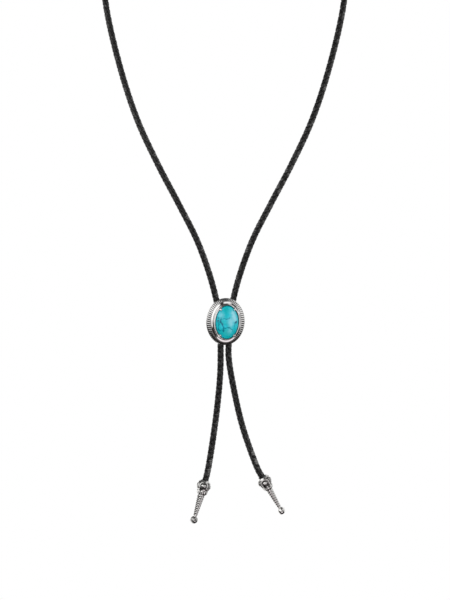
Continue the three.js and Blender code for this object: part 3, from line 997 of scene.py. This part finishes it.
# What polished metal mirrors: each box's reach from left to right and from low to high, in degrees as seen
# from the piece (0, 0 is straight in front of it), how soft its edge is, and its colour.
SOFT_BOXES = [
    ("left box", -76, -19, -7, 50, 5, (1.2, 1.2, 1.2)),
    ("left box, near", -31, 5, -20, 22, 3, (1.15, 1.15, 1.15)),
    ("left box, high", -22, -6, 22, 33, 3, (1.0, 1.0, 1.0)),
    ("front", 6, 46, -20, 5, 3, (0.5, 0.49, 0.49)),
    ("overhead", -180, 180, 52, 90, 6, (0.1, 0.1, 0.1)),
    ("top box", 17, 44, 18, 37, 3, (0.98, 0.97, 0.97)),
    ("right wall, near", 48, 84, -16, 9, 4, (0.28, 0.28, 0.29)),
    ("right wall", 84, 102, -17, 46, 3, (0.95, 0.95, 0.95)),
    ("right wall, high", 61, 85, 24, 46, 4, (0.95, 0.95, 0.95)),
    ("right wall, top", 44, 64, 35, 54, 3, (0.95, 0.95, 0.95)),
    ("highlight box", 69, 80, 4, 20, 3, (1.2, 1.2, 1.2)),
    ("right box below", 42, 60, -26, -13, 3, (0.5, 0.5, 0.5)),
    ("table", -6, 66, -62, -32, 2, (0.93, 0.86, 0.89)),
    ("behind right", 108, 165, -20, 60, 5, (0.9, 0.9, 0.9)),
    ("behind left", -172, -98, -60, 30, 6, (1.2, 1.2, 1.2)),
]
STUDIO_DARK = (0.032, 0.028, 0.028)
AMBIENT = 0.95


def studio():
    """A white surround, with the soft boxes and dark flags that polished silver mirrors."""
    world = bpy.data.worlds.new("studio")
    scene.world = world
    world.use_nodes = True
    tree = world.node_tree
    tree.nodes.clear()
    axes = add(tree, "ShaderNodeSeparateXYZ",
               Vector=add(tree, "ShaderNodeTexCoord").outputs["Generated"]).outputs
    turned = arithmetic(tree, "ARCTAN2", axes["X"], scaled(tree, axes["Y"], -1.0))
    azimuth = scaled(tree, turned, 180 / math.pi)
    elevation = scaled(tree, arithmetic(tree, "ARCSINE", axes["Z"]), 180 / math.pi)

    def step(value, at, edge, *ends):
        """The first of two ends before a place and the second after it, with a soft edge."""
        return map_range(tree, value, at - edge, at + edge, *ends, interpolation_type="SMOOTHSTEP")

    mirrored = STUDIO_DARK
    for _, left, right, low, high, edge, colour in SOFT_BOXES:
        across = step(azimuth, left, edge, 0.0, 1.0)
        if right < 180:
            across = scaled(tree, across, step(azimuth, right, edge, 1.0, 0.0))
        upright = scaled(tree, step(elevation, low, edge, 0.0, 1.0), step(elevation, high, edge, 1.0, 0.0))
        mirrored = mix(tree, scaled(tree, across, upright), mirrored, colour)

    def background(**settings):
        return add(tree, "ShaderNodeBackground", **settings).outputs[0]

    def choose(share, otherwise, chosen):
        node = add(tree, "ShaderNodeMixShader", Fac=share)
        wire(tree, otherwise, node.inputs[1])
        wire(tree, chosen, node.inputs[2])
        return node.outputs[0]

    rays = add(tree, "ShaderNodeLightPath").outputs
    lit = choose(rays["Is Glossy Ray"], background(Color=(1, 1, 1, 1), Strength=AMBIENT),
                 background(Color=mirrored))
    add(tree, "ShaderNodeOutputWorld",
        Surface=choose(rays["Is Camera Ray"], lit, background(Color=(1, 1, 1, 1))))


def pale_floor():
    """A plain pale floor under the hanging tie."""
    half_x, front, back, level = 0.55, -0.75, 0.3, -0.56
    mesh = bpy.data.meshes.new("floor")
    mesh.from_pydata([(-half_x, front, level), (half_x, front, level), (half_x, back, level),
                      (-half_x, back, level)], [], [(0, 1, 2, 3)])
    floor = new_object("floor", mesh)
    material, tree, shader = new_material("floor")
    tone = ramp(tree, noise_of(tree, 6), (0.3, (0.78, 0.78, 0.78)), (0.7, (0.82, 0.82, 0.82)))
    feed(tree, shader, Base_Color=tone, Roughness=0.9)
    mesh.materials.append(material)
    floor.visible_glossy = False


braided_cord()
bright_silver = metal("polished_silver", (0.92, 0.91, 0.90), 0.06, (0.030, 0.027, 0.026), 0.9)
aged_silver = metal("cast_silver", (0.86, 0.85, 0.83), 0.16, (0.022, 0.020, 0.019), 0.97)
clasp_metal = metal("clasp_metal", (0.74, 0.74, 0.73), 0.30, (0.10, 0.10, 0.10), 0.5)
concho(bright_silver)
turquoise_stone()
back_clasp(clasp_metal)
tip("tip_casting_left", "left_tip", LEFT_TAIL[1], LEFT_TAIL[0], aged_silver, 0.9, 0.5, 0.7)
tip("tip_casting_right", "right_tip", RIGHT_TAIL[-2], RIGHT_TAIL[-1], aged_silver, 0.3, 0.0, 0.0)
studio()
pale_floor()
